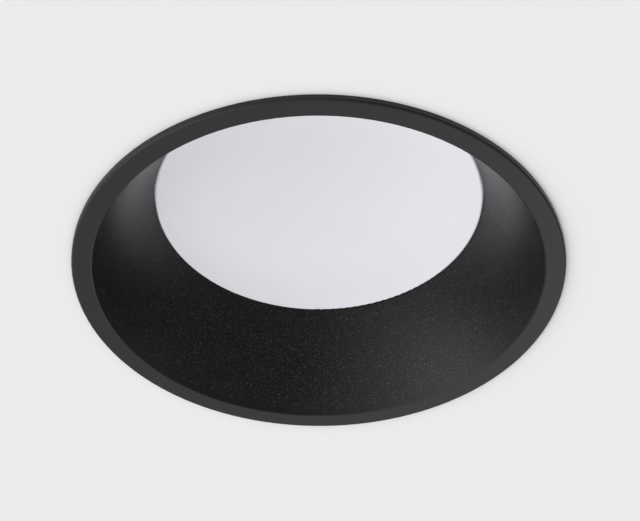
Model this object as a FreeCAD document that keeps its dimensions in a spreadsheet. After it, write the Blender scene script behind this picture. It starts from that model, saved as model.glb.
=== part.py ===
import FreeCAD, Part
import math
import os

import Sketcher

# Round recessed downlight for an outdoor soffit, in millimetres.
# +Z is up, into the soffit. The light leaves towards -Z.
# The origin is the middle of the flange's back face, which lies on the soffit at z = 0.
# The two spring clips lie along X. They are drawn at their lower stop.

VECTOR = FreeCAD.Vector
UP = VECTOR(0, 0, 1)
ACROSS = VECTOR(0, 1, 0)

document = FreeCAD.newDocument("SoffitDownlight")
sheet = document.addObject("Spreadsheet::Sheet", "Sizes")

SIZES = {
    # trim, from the light opening outwards: cone, ledge, rim, bosses, spigot and flange
    "cone_top_radius": 41.6,
    "cone_depth": 25.5,
    "cone_wall": 2.26,
    "collar_height": 1.4,
    "ledge_width": 2.4,
    "rim_wall": 3.6,
    "rim_height": 4.2,
    "clip_flat_depth": 0.6,
    "clip_flat_gap": 1.3,
    "boss_offset": 3.0,
    "boss_radius": 3.2,
    "boss_turn": 45.0,
    "boss_lift": 1.0,
    "spigot_margin": 1.7,
    "spigot_height": 4.0,
    "spigot_shoulder": 1.0,
    "lip_inset": 0.5,
    "lip_round": 0.5,
    "flange_width": 5.0,
    "flange_thickness": 1.6,
    "flange_edge_round": 0.7,
    # seals and the grooves they lie in
    "seal_squeeze": 0.1,
    "gasket_offset": 0.9,
    "gasket_width": 2.6,
    "gasket_thickness": 0.8,
    "housing_seal_width": 1.4,
    "housing_seal_depth": 1.0,
    "housing_seal_inset": 0.15,
    # lens and its seal
    "lens_wall": 2.0,
    "lens_edge_round": 0.5,
    "lens_gap": 0.2,
    "lens_flange_wall": 2.0,
    "lens_seal_thickness": 0.8,
    # mixing chamber and light engine
    "chamber_height": 10.0,
    "chamber_foot": 1.5,
    "chamber_wall": 1.5,
    "chamber_screw_gap": 1.95,
    "board_edge_gap": 1.2,
    "board_thickness": 1.6,
    "thermal_pad_inset": 1.2,
    "thermal_pad_thickness": 0.5,
    "led_length": 3.5,
    "led_width": 2.8,
    "led_height": 0.7,
    "led_margin": 6.0,
    "led_ring_pitch": 12.0,
    "led_lens_round": 0.9,
    "led_lens_depth": 0.2,
    "chip_gap": 2.1,
    "chip_height": 1.8,
    "terminal_length": 9.0,
    "terminal_width": 5.0,
    "terminal_height": 3.2,
    "wire_hole_radius": 3.0,
    # screws into the heat sink and the trim
    "small_screw_radius": 1.5,
    "small_head_radius": 2.75,
    "small_head_height": 1.8,
    "small_head_round": 0.6,
    "board_screw_margin": 0.85,
    "board_screw_floor": 0.5,
    "cap_head_radius": 2.75,
    "cap_head_height": 3.0,
    "cap_head_round": 0.3,
    "cap_screw_length": 15.0,
    "socket_radius": 1.35,
    "socket_depth": 1.3,
    "lug_height": 4.5,
    "thread_gap": 0.05,
    "pass_gap": 0.15,
    "bottom_gap": 0.8,
    # heat sink
    "base_thickness": 3.8,
    "base_bevel": 1.2,
    "fin_thickness": 2.0,
    "fin_draft": 1.0,
    "fin_height": 14.0,
    "fin_crown_width": 6.4,
    "fin_crown_drop": 7.0,
    "well_radius": 17.0,
    "well_floor": 3.0,
    "hub_radius": 11.0,
    "hub_height": 6.0,
    "block_depth": 12.0,
    "block_height": 19.0,
    # cable gland
    "gland_thread_radius": 5.95,
    "gland_thread_length": 7.0,
    "gland_flats": 15.0,
    "gland_hexagon_height": 4.5,
    "gland_claw_height": 5.2,
    "gland_washer_thickness": 0.8,
    "gland_washer_radius": 8.2,
    "gland_cable_radius": 3.1,
    "gland_seal_wall": 1.5,
    "gland_seal_length": 7.0,
    "gland_nut_height": 9.2,
    "gland_nut_gap": 0.5,
    "gland_mouth_radius": 3.6,
    "gland_bevel_margin": 0.5,
    "gland_dome_inset": 0.2,
    "gland_dome_sink": 0.5,
    # spring clips
    "sheet_thickness": 1.0,
    "pivot_height": 23.5,
    "bracket_half_width": 7.65,
    "bracket_foot": 5.2,
    "bracket_ear_radius": 3.1,
    "bracket_bend": 1.3,
    "bracket_ear_rise": 7.0,
    "bracket_top_round": 2.0,
    "bracket_top_gap": 0.5,
    "bracket_screw_drop": 3.7,
    "bracket_screw_half_pitch": 4.0,
    "bracket_screw_length": 6.5,
    "pin_radius": 1.25,
    "pin_head_radius": 2.1,
    "pin_head_height": 0.7,
    "pin_end": 1.2,
    "pin_press_gap": 0.03,
    "pin_running_gap": 0.08,
    "ring_radius": 2.2,
    "ring_thickness": 0.5,
    "wire_radius": 0.5,
    "coil_radius": 2.3,
    "coil_side_gap": 0.55,
    "coil_plate_gap": 0.3,
    "coil_floor_gap": 0.2,
    "bracket_leg": 12.0,
    "arm_leg": 15.0,
    "arm_droop": 24.0,
    "arm_length": 37.0,
    "arm_thickness": 0.7,
    "arm_side_gap": 0.25,
    "arm_bend": 1.0,
    "arm_ear_radius": 2.7,
    "arm_ear_length": 13.0,
    "arm_neck": 16.0,
    "arm_tip_half_width": 5.2,
    "arm_tip_round": 2.0,
    "heel_gap": 0.02,
    "pad_length": 12.0,
    "pad_wall": 1.2,
    "pad_overhang": 1.3,
    "pad_slot_gap": 0.05,
    "pad_round": 0.9,
    "pad_rib_height": 0.5,
    "pad_rib_width": 1.2,
    # how far a cut runs past the material it takes away
    "overrun": 1.0,
}
BOSS_COUNT = 4
BOARD_SCREW_COUNT = 3
FIN_COUNT = 24
OUTER_LED_COUNT = 14
INNER_LED_COUNT = 7
CHIP_COUNT = 4
PAD_RIB_COUNT = 3
COIL_TURNS = 5

for row, (alias, number) in enumerate(SIZES.items(), start=1):
    sheet.set(f"A{row}", alias)
    sheet.set(f"B{row}", str(number))
    sheet.setAlias(f"B{row}", alias)
document.recompute()


class Size:
    """A number together with the sheet expression that gives it."""

    def __init__(self, value, text=None):
        self.value = float(value)
        self.text = text or repr(float(value))

    def joined(self, other, sign, value):
        return Size(value, f"({self.text} {sign} {other.text})")

    def __add__(self, other):
        other = as_size(other)
        return self.joined(other, "+", self.value + other.value)

    def __sub__(self, other):
        other = as_size(other)
        return self.joined(other, "-", self.value - other.value)

    def __mul__(self, other):
        other = as_size(other)
        return self.joined(other, "*", self.value * other.value)

    def __truediv__(self, other):
        other = as_size(other)
        return self.joined(other, "/", self.value / other.value)

    def __neg__(self):
        return Size(-self.value, f"(0 - {self.text})")

    __radd__ = __add__
    __rmul__ = __mul__

    def __rsub__(self, other):
        return as_size(other) - self


def as_size(number):
    return number if isinstance(number, Size) else Size(number)


def sine(angle):
    return Size(math.sin(math.radians(angle.value)), f"sin({angle.text} * 1 deg)")


def cosine(angle):
    return Size(math.cos(math.radians(angle.value)), f"cos({angle.text} * 1 deg)")


class Sizes:
    """The sheet's cells, as Size values under their own names."""


s = Sizes()
for alias in SIZES:
    setattr(s, alias, Size(float(getattr(sheet, alias)), f"Sizes.{alias}"))

# ---------------------------------------------------------------------------
# Levels and radii that several pieces share, each worked out once
# ---------------------------------------------------------------------------
pocket_radius = s.cone_top_radius + s.ledge_width
rim_radius = pocket_radius + s.rim_wall
flat_distance = rim_radius - s.clip_flat_depth
boss_ring = rim_radius + s.boss_offset
spigot_radius = boss_ring + s.boss_radius + s.spigot_margin
lip_radius = spigot_radius - s.lip_inset
flange_radius = lip_radius + s.flange_width
gasket_inner = spigot_radius + s.gasket_offset
gasket_outer = gasket_inner + s.gasket_width
cone_top = s.cone_depth - s.flange_thickness
cone_slope = (lip_radius - s.cone_top_radius) / s.cone_depth
ledge = cone_top + s.collar_height
rim_top = ledge + s.rim_height
seal_mid_radius = pocket_radius + s.rim_wall / 2 - s.housing_seal_inset
seal_inner = seal_mid_radius - s.housing_seal_width / 2
seal_outer = seal_mid_radius + s.housing_seal_width / 2
lens_radius = s.cone_top_radius - s.lens_gap
lens_flange_low = ledge + s.lens_seal_thickness
lens_top = lens_flange_low + s.lens_flange_wall
board_low = lens_top + s.chamber_height
board_top = board_low + s.board_thickness
base_low = board_top + s.thermal_pad_thickness
base_top = base_low + s.base_thickness
board_radius = pocket_radius - s.board_edge_gap
board_screw_ring = board_radius - s.small_head_radius - s.board_screw_margin
board_screw_depth = s.base_thickness - s.board_screw_floor
chamber_top_radius = board_screw_ring - s.small_head_radius - s.chamber_screw_gap - s.chamber_wall
led_outer_ring = chamber_top_radius - s.led_margin
led_inner_ring = led_outer_ring - s.led_ring_pitch
fin_reach = rim_radius - s.base_bevel
fin_crown_radius = fin_reach - s.fin_crown_width
fin_top = base_top + s.fin_height
hub_top = base_top + s.hub_height
lug_top = rim_top + s.lug_height
block_top = rim_top + s.block_height
gland_seat = hub_top + s.gland_washer_thickness
gland_hex_top = gland_seat + s.gland_hexagon_height
coil_outer = s.coil_radius + s.wire_radius
plate_face = flat_distance + s.sheet_thickness
pivot_distance = plate_face + s.coil_plate_gap + coil_outer
arm_half_width = s.bracket_half_width - s.sheet_thickness - s.arm_side_gap
arm_floor_top = -(coil_outer + s.coil_floor_gap)
arm_floor_low = arm_floor_top - s.arm_thickness
bracket_low = s.pivot_height - s.bracket_foot
bracket_top = block_top - s.bracket_top_gap
bracket_screw_level = bracket_top - s.bracket_screw_drop


def cone_outer(height):
    """Radius of the cone's outer wall at a height above the soffit."""
    return lip_radius + s.cone_wall - (height + s.flange_thickness) * cone_slope


# ---------------------------------------------------------------------------
# Sketches and features
# ---------------------------------------------------------------------------
def new_body(label):
    body = document.addObject("PartDesign::Body", label)
    body.Label = label
    body.AllowCompound = True
    return body


def sketch(body, name, plane, lift=None, turn=None):
    """Sketch on one of the body's own planes, lifted along its normal and turned about it."""
    made = body.newObject("Sketcher::SketchObject", name)
    support = next(item for item in body.Origin.OriginFeatures if item.Role == plane)
    made.AttachmentSupport = [(support, "")]
    made.MapMode = "FlatFace"
    height = lift.value if lift else 0.0
    angle = turn.value if turn else 0.0
    made.AttachmentOffset = FreeCAD.Placement(VECTOR(0, 0, height), FreeCAD.Rotation(UP, angle))
    if lift:
        made.setExpression("AttachmentOffset.Base.z", lift.text)
    if turn:
        made.setExpression("AttachmentOffset.Rotation.Angle", turn.text)
    return made


def pin_point(made, line, end, x, y):
    """Hold one point of a sketch at x, y from the sketch's origin."""
    for kind, wanted in (("DistanceX", x), ("DistanceY", y)):
        index = made.addConstraint(Sketcher.Constraint(kind, -1, 1, line, end, wanted.value))
        made.setExpression(f"Constraints[{index}]", wanted.text)


def arc_between(start, finish, bend):
    """Arc of radius bend from start to finish, turning left when bend is positive."""
    chord = finish - start
    half = chord.Length / 2
    left = VECTOR(-chord.y, chord.x, 0).normalize()
    rise = math.sqrt(max(bend * bend - half * half, 0.0))
    centre = (start + finish) * 0.5 + left * (rise if bend > 0 else -rise)
    first, last = (start, finish) if bend > 0 else (finish, start)
    angles = [math.atan2(spot.y - centre.y, spot.x - centre.x) for spot in (first, last)]
    if angles[1] < angles[0]:
        angles[1] += 2 * math.pi
    return Part.ArcOfCircle(Part.Circle(centre, UP, abs(bend)), angles[0], angles[1])


def outline(made, corners):
    """Closed loop through (x, y) corners. A third value is the radius of the arc to the next one."""
    corners = [[as_size(value) for value in corner] for corner in corners]
    spots = [VECTOR(corner[0].value, corner[1].value, 0) for corner in corners]
    sides = []
    for index, corner in enumerate(corners):
        start, finish = spots[index], spots[(index + 1) % len(spots)]
        if len(corner) == 3:
            side = made.addGeometry(arc_between(start, finish, corner[2].value), False)
            forward = corner[2].value > 0
            radius = corner[2] if forward else -corner[2]
            number = made.addConstraint(Sketcher.Constraint("Radius", side, radius.value))
            made.setExpression(f"Constraints[{number}]", radius.text)
        else:
            side = made.addGeometry(Part.LineSegment(start, finish), False)
            forward = True
        sides.append((side, 1 if forward else 2, 2 if forward else 1))
    for index, (side, first, _) in enumerate(sides):
        before, _, last = sides[index - 1]
        made.addConstraint(Sketcher.Constraint("Coincident", before, last, side, first))
        pin_point(made, side, first, corners[index][0], corners[index][1])
    return made


def circle(made, x, y, radius):
    x, y, radius = as_size(x), as_size(y), as_size(radius)
    ring = Part.Circle(VECTOR(x.value, y.value, 0), UP, radius.value)
    number = made.addGeometry(ring, False)
    index = made.addConstraint(Sketcher.Constraint("Radius", number, radius.value))
    made.setExpression(f"Constraints[{index}]", radius.text)
    pin_point(made, number, 3, x, y)
    return made


def rectangle(left, right, low, high):
    return [(left, low), (right, low), (right, high), (left, high)]


def hexagon(flats, turn=0.0):
    """Six corners of a regular hexagon of the given size across its flats."""
    reach = as_size(flats) / math.sqrt(3.0)
    angles = [math.radians(turn + 60.0 * index) for index in range(6)]
    return [(reach * math.cos(angle), reach * math.sin(angle)) for angle in angles]


def volume(body):
    document.recompute()
    return body.Shape.Volume if not body.Shape.isNull() else 0.0


def add(body, kind, name, profile, length=None, reverse=False, both=False, draft=None):
    """One feature that adds or takes material; it must really change the body's volume."""
    before = volume(body)
    made = body.newObject(f"PartDesign::{kind}", name)
    made.Profile = profile
    if length is None:
        made.ReferenceAxis = (profile, ["V_Axis"])
        made.Angle = 360
    else:
        length = as_size(length)
        made.Length = length.value
        made.setExpression("Length", length.text)
        made.Midplane = both
        made.Reversed = reverse
    if draft:
        made.TaperAngle = draft.value
        made.setExpression("TaperAngle", draft.text)
    after = volume(body)
    taken = kind in ("Pocket", "Groove")
    if (after >= before) if taken else (after <= before):
        raise ValueError(f"{body.Label}: {name} changes nothing")
    return made


def repeat(body, name, originals, count, angle=360.0):
    """The same features again, evenly round the lamp's axis."""
    before = volume(body)
    made = body.newObject("PartDesign::PolarPattern", name)
    made.Originals = originals
    axis = next(item for item in body.Origin.OriginFeatures if item.Role == "Z_Axis")
    made.Axis = (axis, [""])
    made.Angle = angle
    made.Occurrences = count
    body.Tip = made
    if abs(volume(body) - before) < 1e-6:
        raise ValueError(f"{body.Label}: {name} changes nothing")
    return made


def edge_feature(body, kind, name, size, chosen):
    """Fillet or chamfer on the edges of the body so far that pass a test."""
    document.recompute()
    base = body.Tip
    names = [f"Edge{index + 1}" for index, edge in enumerate(base.Shape.Edges) if chosen(edge)]
    if not names:
        raise ValueError(f"{body.Label}: {name} finds no edge")
    made = body.newObject(f"PartDesign::{kind}", name)
    made.Base = (base, names)
    size = as_size(size)
    prop = "Radius" if kind == "Fillet" else "Size"
    setattr(made, prop, size.value)
    made.setExpression(prop, size.text)
    document.recompute()
    return made


def ring_edge(radius, height):
    """Test for the full circle of a given radius about the lamp's axis at a given height."""
    def chosen(edge):
        curve = edge.Curve
        if not isinstance(curve, Part.Circle):
            return False
        if not edge.isClosed():
            return False
        middle = curve.Center
        return (abs(curve.Radius - radius.value) < 1e-4 and abs(middle.z - height.value) < 1e-4
                and math.hypot(middle.x, middle.y) < 1e-4)
    return chosen


def turned(label, *loops):
    """Body turned about the lamp's axis from one or more (radius, height) outlines."""
    body = new_body(label)
    profile = sketch(body, f"{label}_profile", "XZ_Plane")
    for loop in loops:
        outline(profile, loop)
    add(body, "Revolution", f"{label}_turned", profile)
    return body


def plate(body, name, lift, loops, circles, height, **options):
    """Pad or pocket from a level sketch at a height, from outlines and circles."""
    turn = options.pop("turn", None)
    kind = options.pop("kind", "Pad")
    profile = sketch(body, f"{name}_outline", "XY_Plane", as_size(lift), turn)
    for loop in loops:
        outline(profile, loop)
    for ring in circles:
        circle(profile, *ring)
    return add(body, kind, name, profile, height, **options)


def round_the_back(body):
    """The left clip's pieces are the right clip's, turned half round the lamp's axis."""
    half_turn = FreeCAD.Placement(VECTOR(0, 0, 0), FreeCAD.Rotation(UP, 180))
    body.Placement = half_turn * body.Placement


def on_arm(body):
    """Take a piece drawn along the arm from the pivot to the arm's place at its lower stop."""
    pivot = VECTOR(pivot_distance.value, 0, s.pivot_height.value)
    body.Placement = FreeCAD.Placement(pivot, FreeCAD.Rotation(ACROSS, s.arm_droop.value))


# ---------------------------------------------------------------------------
# Trim: one casting with the flange, the cone, the spigot, the rim and four bosses
# ---------------------------------------------------------------------------
def boss_outline(root, reach, half_width):
    """A lug that grows out of the round wall and ends in a half round about the screw."""
    return [(root, -half_width), (reach, -half_width, half_width), (reach + half_width, 0, half_width),
            (reach, half_width), (root, half_width)]


def make_trim():
    shoulder = s.spigot_height + s.spigot_shoulder
    rim_foot = (lip_radius + s.cone_wall - rim_radius) / cone_slope - s.flange_thickness
    body = turned("trim", [
        (0, -s.flange_thickness), (flange_radius, -s.flange_thickness), (flange_radius, 0),
        (spigot_radius, 0), (spigot_radius, s.spigot_height), (cone_outer(shoulder), shoulder),
        (rim_radius, rim_foot), (rim_radius, rim_top), (0, rim_top)])
    boss_foot = shoulder + s.boss_lift
    boss = plate(body, "screw_boss", boss_foot, [boss_outline(s.cone_top_radius, boss_ring, s.boss_radius)],
                 [], rim_top - boss_foot, turn=s.boss_turn)
    repeat(body, "screw_bosses", [boss], BOSS_COUNT)
    hollow = outline(sketch(body, "hollow_profile", "XZ_Plane"), [
        (0, -s.flange_thickness), (lip_radius, -s.flange_thickness), (s.cone_top_radius, cone_top),
        (s.cone_top_radius, ledge), (pocket_radius, ledge), (pocket_radius, rim_top), (0, rim_top)])
    add(body, "Groove", "hollow", hollow)
    for name, loop in (
        ("seal_groove", rectangle(seal_inner, seal_outer, rim_top - s.housing_seal_depth, rim_top)),
        ("gasket_groove", rectangle(gasket_inner, gasket_outer, -s.gasket_thickness, 0)),
    ):
        add(body, "Groove", name, outline(sketch(body, f"{name}_profile", "XZ_Plane"), loop))
    flat_low = bracket_low - s.clip_flat_gap
    flat = plate(body, "clip_flat", flat_low,
                 [rectangle(flat_distance, boss_ring, -s.bracket_half_width, s.bracket_half_width)],
                 [], rim_top - flat_low, kind="Pocket", reverse=True)
    repeat(body, "clip_flats", [flat], 2)
    hole = plate(body, "screw_hole", rim_top, [], [(boss_ring, 0, s.small_screw_radius + s.thread_gap)],
                 s.cap_screw_length - s.lug_height + s.bottom_gap, kind="Pocket", turn=s.boss_turn)
    repeat(body, "screw_holes", [hole], BOSS_COUNT)
    edge_feature(body, "Fillet", "flange_edge", s.flange_edge_round,
                 ring_edge(flange_radius, -s.flange_thickness))
    edge_feature(body, "Fillet", "lip_edge", s.lip_round, ring_edge(lip_radius, -s.flange_thickness))
    return body


# ---------------------------------------------------------------------------
# Seals, lens and mixing chamber
# ---------------------------------------------------------------------------
def make_rings():
    for label, inner, outer, low, high in (
        ("soffit_gasket", gasket_inner, gasket_outer, -s.gasket_thickness, as_size(0)),
        ("diffuser_seal", s.cone_top_radius, pocket_radius, ledge, lens_flange_low),
        ("housing_seal", seal_inner, seal_outer, rim_top - s.housing_seal_depth, rim_top),
        ("gland_washer", s.gland_thread_radius, s.gland_washer_radius, hub_top, gland_seat),
    ):
        turned(label, rectangle(inner + s.seal_squeeze, outer - s.seal_squeeze, low, high))


def make_diffuser():
    """Opal lens: its face drops through the collar to the cone's top edge, with a rounded shoulder."""
    inner = lens_radius - s.lens_wall
    turned("diffuser", [
        (0, cone_top), (lens_radius - s.lens_edge_round, cone_top, s.lens_edge_round),
        (lens_radius, cone_top + s.lens_edge_round), (lens_radius, lens_flange_low),
        (pocket_radius - s.lens_gap, lens_flange_low), (pocket_radius - s.lens_gap, lens_top),
        (inner, lens_top), (inner, cone_top + s.lens_wall), (0, cone_top + s.lens_wall)])


def make_mixing_chamber():
    """White reflector between the lens's flange and the board, narrower towards the board."""
    foot_inner = lens_radius - s.lens_wall
    foot_top = lens_top + s.chamber_foot
    turned("mixing_chamber", [
        (foot_inner, lens_top), (pocket_radius - s.lens_gap, lens_top),
        (pocket_radius - s.lens_gap, foot_top), (foot_inner + s.chamber_wall, foot_top),
        (chamber_top_radius + s.chamber_wall, board_low), (chamber_top_radius, board_low)])


# ---------------------------------------------------------------------------
# Light engine
# ---------------------------------------------------------------------------
def board_screw_holes(body, low, depth, radius):
    hole = plate(body, "screw_hole", low, [], [(board_screw_ring, 0, radius)], depth,
                 kind="Pocket", reverse=True)
    repeat(body, "screw_holes", [hole], BOARD_SCREW_COUNT)


def make_board():
    body = new_body("led_board")
    plate(body, "board", board_low, [], [(0, 0, board_radius), (0, 0, s.wire_hole_radius)],
          s.board_thickness)
    board_screw_holes(body, board_low, s.board_thickness, s.small_screw_radius + s.pass_gap)


def make_thermal_pad():
    body = new_body("thermal_pad")
    plate(body, "pad", board_top, [],
          [(0, 0, board_radius - s.thermal_pad_inset), (0, 0, s.wire_hole_radius)],
          s.thermal_pad_thickness)
    board_screw_holes(body, board_top, s.thermal_pad_thickness, s.small_screw_radius + s.pass_gap)


def make_led_packages():
    body = new_body("led_packages")
    half_length = s.led_length / 2
    half_width = s.led_width / 2
    for name, ring, count in (("outer", led_outer_ring, OUTER_LED_COUNT),
                              ("inner", led_inner_ring, INNER_LED_COUNT)):
        package = plate(body, f"{name}_package", board_low,
                        [rectangle(ring - half_width, ring + half_width, -half_length, half_length)],
                        [], s.led_height, reverse=True)
        window = plate(body, f"{name}_window", board_low - s.led_height, [], [(ring, 0, s.led_lens_round)],
                       s.led_lens_depth, kind="Pocket", reverse=True)
        repeat(body, f"{name}_ring", [package, window], count)


def make_driver_chips():
    """Rectifier, fuse and regulators, each a small package beside the wire hole."""
    body = new_body("driver_chips")
    half = s.led_width / 2
    ring = s.wire_hole_radius + s.chip_gap + half
    chip = plate(body, "chip", board_low,
                 [rectangle(ring - half, ring + half, -half, half)],
                 [], s.chip_height, reverse=True)
    repeat(body, "chips", [chip], CHIP_COUNT)


def make_terminal_block():
    body = new_body("terminal_block")
    half_length = s.terminal_length / 2
    half_width = s.terminal_width / 2
    between = (led_outer_ring + led_inner_ring) / 2
    turn = as_size(180.0 / OUTER_LED_COUNT)
    plate(body, "housing", board_low,
          [rectangle(between - half_width, between + half_width, -half_length, half_length)],
          [], s.terminal_height, reverse=True, turn=turn)
    mouth = s.terminal_length / 6
    for side in (-1, 1):
        middle = s.terminal_length * side / 4
        cell = sketch(body, "wire_mouth_outline", "XY_Plane", board_low - s.terminal_height, turn)
        circle(cell, between, middle, mouth)
        add(body, "Pocket", "wire_mouth", cell, s.terminal_height / 2, reverse=True)


# ---------------------------------------------------------------------------
# Screws: plain shanks with the real heads and sockets
# ---------------------------------------------------------------------------
def screw_features(body, ring, seat, head, shank, downwards, turn=None):
    """Head on one side of the seat and shank on the other, beside the lamp's axis."""
    head_radius, head_height = head
    shank_radius, shank_length = shank
    outer = seat + head_height if downwards else seat - head_height
    made = [plate(body, "head", seat, [], [(ring, 0, head_radius)], head_height,
                  reverse=not downwards, turn=turn),
            plate(body, "shank", seat, [], [(ring, 0, shank_radius)], shank_length,
                  reverse=downwards, turn=turn)]
    corners = [(ring + x, y) for x, y in hexagon(s.socket_radius * math.sqrt(3.0))]
    made.append(plate(body, "socket", outer, [corners], [], s.socket_depth, kind="Pocket",
                      reverse=not downwards, turn=turn))
    return made


def round_heads(body, radius, rounding, outer, distance):
    """Round every screw head's outer edge, whose centre lies at the outer level by a measure."""
    def outer_edge(edge):
        curve = edge.Curve
        return (isinstance(curve, Part.Circle) and abs(curve.Radius - radius.value) < 1e-4
                and abs(distance(curve.Center) - outer.value) < 1e-4)

    edge_feature(body, "Fillet", "head_rounding", rounding, outer_edge)


def make_board_screws():
    body = new_body("board_screws")
    length = s.board_thickness + s.thermal_pad_thickness + board_screw_depth - s.bottom_gap
    made = screw_features(body, board_screw_ring, board_low, (s.small_head_radius, s.small_head_height),
                          (s.small_screw_radius, length), downwards=False)
    repeat(body, "all_board_screws", made, BOARD_SCREW_COUNT)
    round_heads(body, s.small_head_radius, s.small_head_round, board_low - s.small_head_height,
                lambda centre: centre.z)


def make_housing_screws():
    body = new_body("housing_screws")
    made = screw_features(body, boss_ring, lug_top, (s.cap_head_radius, s.cap_head_height),
                          (s.small_screw_radius, s.cap_screw_length), downwards=True, turn=s.boss_turn)
    repeat(body, "all_housing_screws", made, BOSS_COUNT)
    round_heads(body, s.cap_head_radius, s.cap_head_round, lug_top + s.cap_head_height,
                lambda centre: centre.z)


def make_bracket_screws():
    body = new_body("bracket_screws")
    made = []
    for side in (-1, 1):
        middle = s.bracket_screw_half_pitch * side
        for name, kind, start, radius, length, inwards in (
            ("head", "Pad", plate_face, s.small_head_radius, s.small_head_height, False),
            ("shank", "Pad", plate_face, s.small_screw_radius, s.bracket_screw_length, True),
        ):
            profile = circle(sketch(body, f"{name}_outline", "YZ_Plane", start), middle,
                             bracket_screw_level, radius)
            made.append(add(body, kind, name, profile, length, reverse=inwards))
        profile = sketch(body, "socket_outline", "YZ_Plane", plate_face + s.small_head_height)
        outline(profile, [(middle + x, bracket_screw_level + y)
                          for x, y in hexagon(s.socket_radius * math.sqrt(3.0))])
        made.append(add(body, "Pocket", "socket", profile, s.socket_depth))
    repeat(body, "both_sides", made, 2)
    round_heads(body, s.small_head_radius, s.small_head_round, plate_face + s.small_head_height,
                lambda centre: abs(centre.x))


# ---------------------------------------------------------------------------
# Heat sink: skirt, base, drafted radial fins, hub, lugs and clip blocks in one casting
# ---------------------------------------------------------------------------
def make_heat_sink():
    body = turned("heat_sink", [
        (0, rim_top), (rim_radius, rim_top), (rim_radius, base_top - s.base_bevel),
        (rim_radius - s.base_bevel, base_top), (0, base_top)])
    half_fin = s.fin_thickness / 2
    overlap = s.base_thickness / 4
    fin = plate(body, "fin", base_top - overlap,
                [rectangle(s.hub_radius / 2, fin_reach, -half_fin, half_fin)],
                [], s.fin_height + overlap, draft=-s.fin_draft)
    repeat(body, "fins", [fin], FIN_COUNT)
    beyond = fin_reach + s.overrun
    above = fin_top + s.overrun
    crown = outline(sketch(body, "crown_profile", "XZ_Plane"), [
        (fin_crown_radius, fin_top), (fin_reach, fin_top - s.fin_crown_drop),
        (beyond, fin_top - s.fin_crown_drop), (beyond, above), (fin_crown_radius, above)])
    add(body, "Groove", "crown", crown)
    well = outline(sketch(body, "well_profile", "XZ_Plane"),
                   rectangle(as_size(0), s.well_radius, base_top + s.well_floor, above))
    add(body, "Groove", "spanner_well", well)
    plate(body, "hub", base_top - overlap, [], [(0, 0, s.hub_radius)], s.hub_height + overlap)
    block = plate(body, "clip_block", rim_top,
                  [rectangle(flat_distance - s.block_depth, flat_distance,
                             -s.bracket_half_width, s.bracket_half_width)],
                  [], s.block_height)
    repeat(body, "clip_blocks", [block], 2)
    lug = plate(body, "lug", rim_top, [boss_outline(s.cone_top_radius, boss_ring, s.boss_radius)],
                [], s.lug_height, turn=s.boss_turn)
    repeat(body, "lugs", [lug], BOSS_COUNT)
    cavity = outline(sketch(body, "cavity_profile", "XZ_Plane"),
                     rectangle(as_size(0), pocket_radius, rim_top, base_low))
    add(body, "Groove", "cavity", cavity)
    flat = plate(body, "clip_flat", rim_top,
                 [rectangle(flat_distance, boss_ring, -s.bracket_half_width, s.bracket_half_width)],
                 [], s.block_height, kind="Pocket", reverse=True)
    repeat(body, "clip_flats", [flat], 2)
    lug_hole = plate(body, "lug_hole", rim_top, [], [(boss_ring, 0, s.small_screw_radius + s.pass_gap)],
                     s.lug_height, kind="Pocket", reverse=True, turn=s.boss_turn)
    repeat(body, "lug_holes", [lug_hole], BOSS_COUNT)
    board_screw_holes(body, base_low, board_screw_depth, s.small_screw_radius + s.thread_gap)
    plate(body, "wire_passage", base_low, [], [(0, 0, s.wire_hole_radius)], hub_top - base_low,
          kind="Pocket", reverse=True)
    plate(body, "gland_thread", hub_top, [], [(0, 0, s.gland_thread_radius + s.thread_gap)],
          s.gland_thread_length + s.bottom_gap, kind="Pocket")
    made = []
    for side in (-1, 1):
        hole = circle(sketch(body, "bracket_hole_outline", "YZ_Plane", flat_distance),
                      s.bracket_screw_half_pitch * side, bracket_screw_level,
                      s.small_screw_radius + s.thread_gap)
        depth = s.bracket_screw_length - s.sheet_thickness + s.bottom_gap
        made.append(add(body, "Pocket", "bracket_hole", hole, depth))
    repeat(body, "bracket_holes", made, 2)
    return body


# ---------------------------------------------------------------------------
# Cable gland: the inlet only
# ---------------------------------------------------------------------------
def bevel_hexagon(body, top, drop):
    """Take a hexagon's upper corners off as a turned cone."""
    corner = s.gland_flats / math.sqrt(3.0)
    inner = s.gland_flats / 2
    cone = outline(sketch(body, "bevel_profile", "XZ_Plane"),
                   [(inner, top), (corner + s.gland_bevel_margin, top - drop),
                    (corner + s.gland_bevel_margin, top)])
    add(body, "Groove", "hexagon_bevel", cone)


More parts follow.
